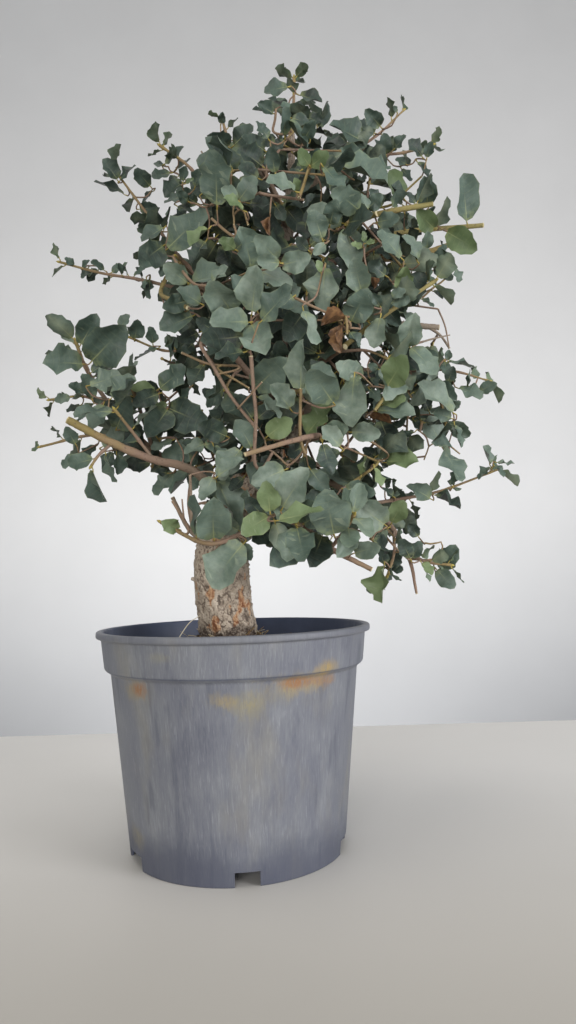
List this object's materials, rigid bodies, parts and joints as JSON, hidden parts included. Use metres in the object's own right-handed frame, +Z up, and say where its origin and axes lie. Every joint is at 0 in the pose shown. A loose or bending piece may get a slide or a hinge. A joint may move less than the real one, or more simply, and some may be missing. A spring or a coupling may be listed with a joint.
{
  "type": "cork oak bonsai",
  "caption": "Small cork oak tree with a leaning cork-barked trunk and a dense leafy crown, growing in a tapered plastic nursery pot.",
  "frame": {"origin": "centre of the pot's base, on the surface that it stands on", "axes": "+Z up along the pot's axis; -Y towards the front; +X to the right seen from the front, the way the crown leans"},
  "size_m": [0.3672, 0.2454, 0.5968],
  "materials": {
    "pot_plastic": "weathered blue-grey moulded plastic with rust-coloured water marks under the band",
    "soil": "dark crumbly potting soil",
    "bark": "rough grey-tan cork bark with rust-coloured fissures",
    "leaf": "leathery grey-green leaves on thin yellow-brown twigs"
  },
  "bodies": {
    "root": {"pot": "pot_plastic", "soil": "soil", "trunk": "bark", "spray_top": "leaf", "spray_top_left_stub": "leaf", "spray_top_right": "leaf", "spray_right_cluster": "leaf", "spray_upper_left": "leaf", "spray_far_left_up": "leaf", "spray_left_dark": "leaf", "spray_left_long": "leaf", "spray_left_high": "leaf", "spray_left_middle": "leaf", "spray_left_outer": "leaf", "spray_left_low": "leaf", "spray_left_inner": "leaf", "spray_left_front": "leaf", "spray_left_hanging": "leaf", "spray_right_cut_upper": "leaf", "spray_right_cut_long": "leaf", "spray_right_yellow": "leaf", "spray_right_outer": "leaf", "spray_right_droop": "leaf", "spray_right_long": "leaf", "spray_right_bottom": "leaf", "spray_right_bottom_front": "leaf", "spray_front_yellow": "leaf", "spray_front_bottom": "leaf", "spray_front_bottom_right": "leaf", "spray_fill_01": "leaf", "spray_fill_02": "leaf", "spray_fill_03": "leaf", "spray_fill_04": "leaf", "spray_fill_05": "leaf", "spray_fill_06": "leaf", "spray_fill_07": "leaf", "spray_fill_08": "leaf", "spray_fill_09": "leaf", "spray_fill_10": "leaf", "spray_fill_11": "leaf", "spray_fill_12": "leaf", "spray_fill_13": "leaf", "spray_fill_14": "leaf", "spray_fill_15": "leaf", "spray_fill_16": "leaf", "spray_fill_17": "leaf", "spray_fill_18": "leaf", "spray_fill_19": "leaf", "spray_fill_20": "leaf", "spray_fill_21": "leaf", "spray_fill_22": "leaf", "spray_fill_23": "leaf", "spray_fill_24": "leaf", "spray_fill_25": "leaf", "spray_fill_26": "leaf", "spray_fill_27": "leaf", "spray_fill_28": "leaf", "spray_fill_29": "leaf"}
  },
  "joints": []
}
